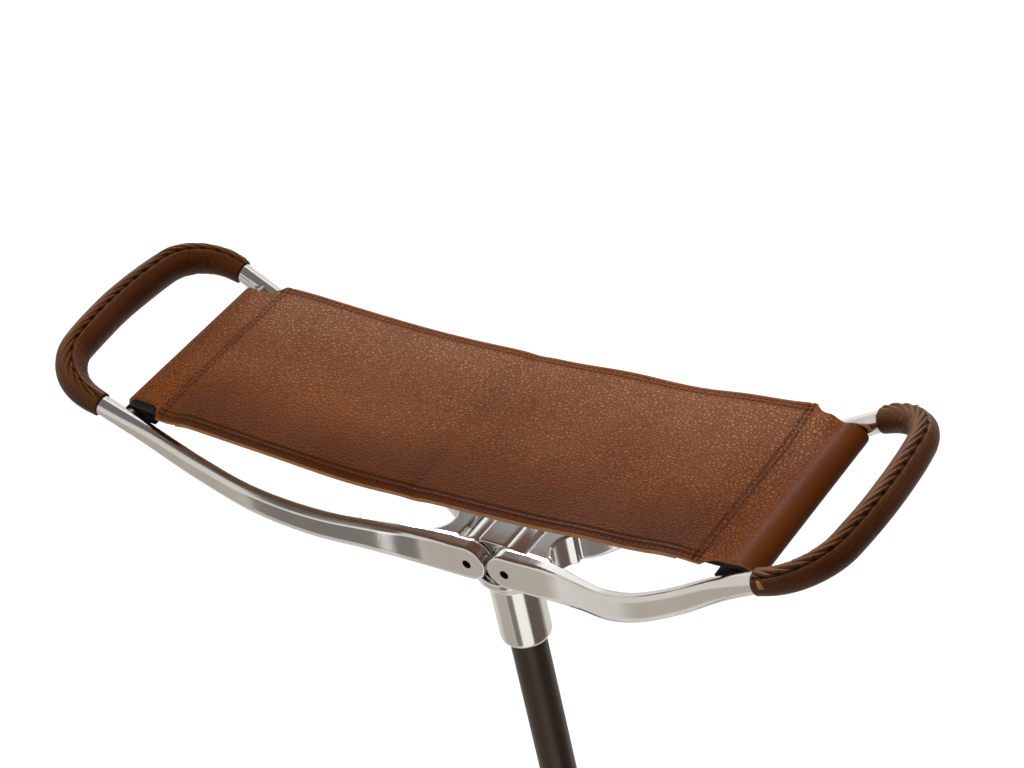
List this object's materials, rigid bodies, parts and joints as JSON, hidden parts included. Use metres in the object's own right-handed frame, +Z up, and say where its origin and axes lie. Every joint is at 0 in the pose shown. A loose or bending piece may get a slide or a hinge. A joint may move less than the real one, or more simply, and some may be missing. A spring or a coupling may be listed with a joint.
{
  "type": "walking stick seat",
  "caption": "Walking stick that opens into a seat: a dark tube with a polished head, folding loop handles covered in leather, and a leather sling between them.",
  "frame": {"origin": "on the ground under the middle of the rubber foot, on the stick's axis", "axes": "+Z up along the stick, +X along the seat's length, -Y the side that faces the viewer of the picture"},
  "size_m": [0.535, 0.1544, 0.7222],
  "materials": {
    "polished_alloy": "polished casting",
    "cast_alloy": "satin casting",
    "steel": "plain steel",
    "dark_anodised": "dark brown anodised, semi-gloss",
    "rubber": "moulded",
    "handle_leather": "smooth calf",
    "lace": "waxed lace",
    "seat_leather": "pebbled hide",
    "raw_leather": "raw edge and flesh side",
    "webbing": "woven",
    "thread": "waxed thread"
  },
  "bodies": {
    "stick": {"head_casting": "polished_alloy", "socket_screw": "steel", "shaft_tube": "dark_anodised", "tip_plug": "cast_alloy", "foot_rivet": "steel", "ground_disc": "cast_alloy", "spike": "steel", "rubber_ferrule": "rubber", "ferrule_washer": "steel", "pivot_pin_left": "steel", "pivot_pin_right": "steel"},
    "frame_left": {"frame_casting_left": "polished_alloy", "crossbar_left": "steel", "handle_cover_left": "handle_leather", "handle_lace_left": "lace"},
    "frame_right": {"frame_casting_right": "polished_alloy", "crossbar_right": "steel", "handle_cover_right": "handle_leather", "handle_lace_right": "lace"},
    "sling_left": {"sling_leather_left": "seat_leather", "sling_lining_left": "raw_leather", "sling_webbing_left": "webbing", "sling_stitching_left": "thread"},
    "sling_right": {"sling_leather_right": "seat_leather", "sling_lining_right": "raw_leather", "sling_webbing_right": "webbing", "sling_stitching_right": "thread"}
  },
  "joints": [
    {"name": "fold_left", "type": "hinge", "parent": "stick", "child": "frame_left", "pos_m": [-0.013, 0, 0.6], "axis": [0, 1, 0], "range_deg": [0, 65]},
    {"name": "fold_right", "type": "hinge", "parent": "stick", "child": "frame_right", "pos_m": [0.013, 0, 0.6], "axis": [0, -1, 0], "range_deg": [0, 65]},
    {"name": "sling_hinge_left", "type": "hinge", "parent": "frame_left", "child": "sling_left", "pos_m": [-0.2015, 0, 0.69], "axis": [0, 1, 0], "range_deg": [0, 21.2], "deforming": ["sling_leather_left", "sling_lining_left", "sling_webbing_left", "sling_stitching_left"]},
    {"name": "sling_hinge_right", "type": "hinge", "parent": "frame_right", "child": "sling_right", "pos_m": [0.2015, 0, 0.69], "axis": [0, -1, 0], "range_deg": [0, 21.2], "deforming": ["sling_leather_right", "sling_lining_right", "sling_webbing_right", "sling_stitching_right"]}
  ],
  "couplings": [
    {"joint": "fold_right", "follows": "fold_left", "ratio": 1},
    {"joint": "sling_hinge_left", "follows": "fold_left", "ratio": 0.32615},
    {"joint": "sling_hinge_right", "follows": "fold_left", "ratio": 0.32615}
  ]
}
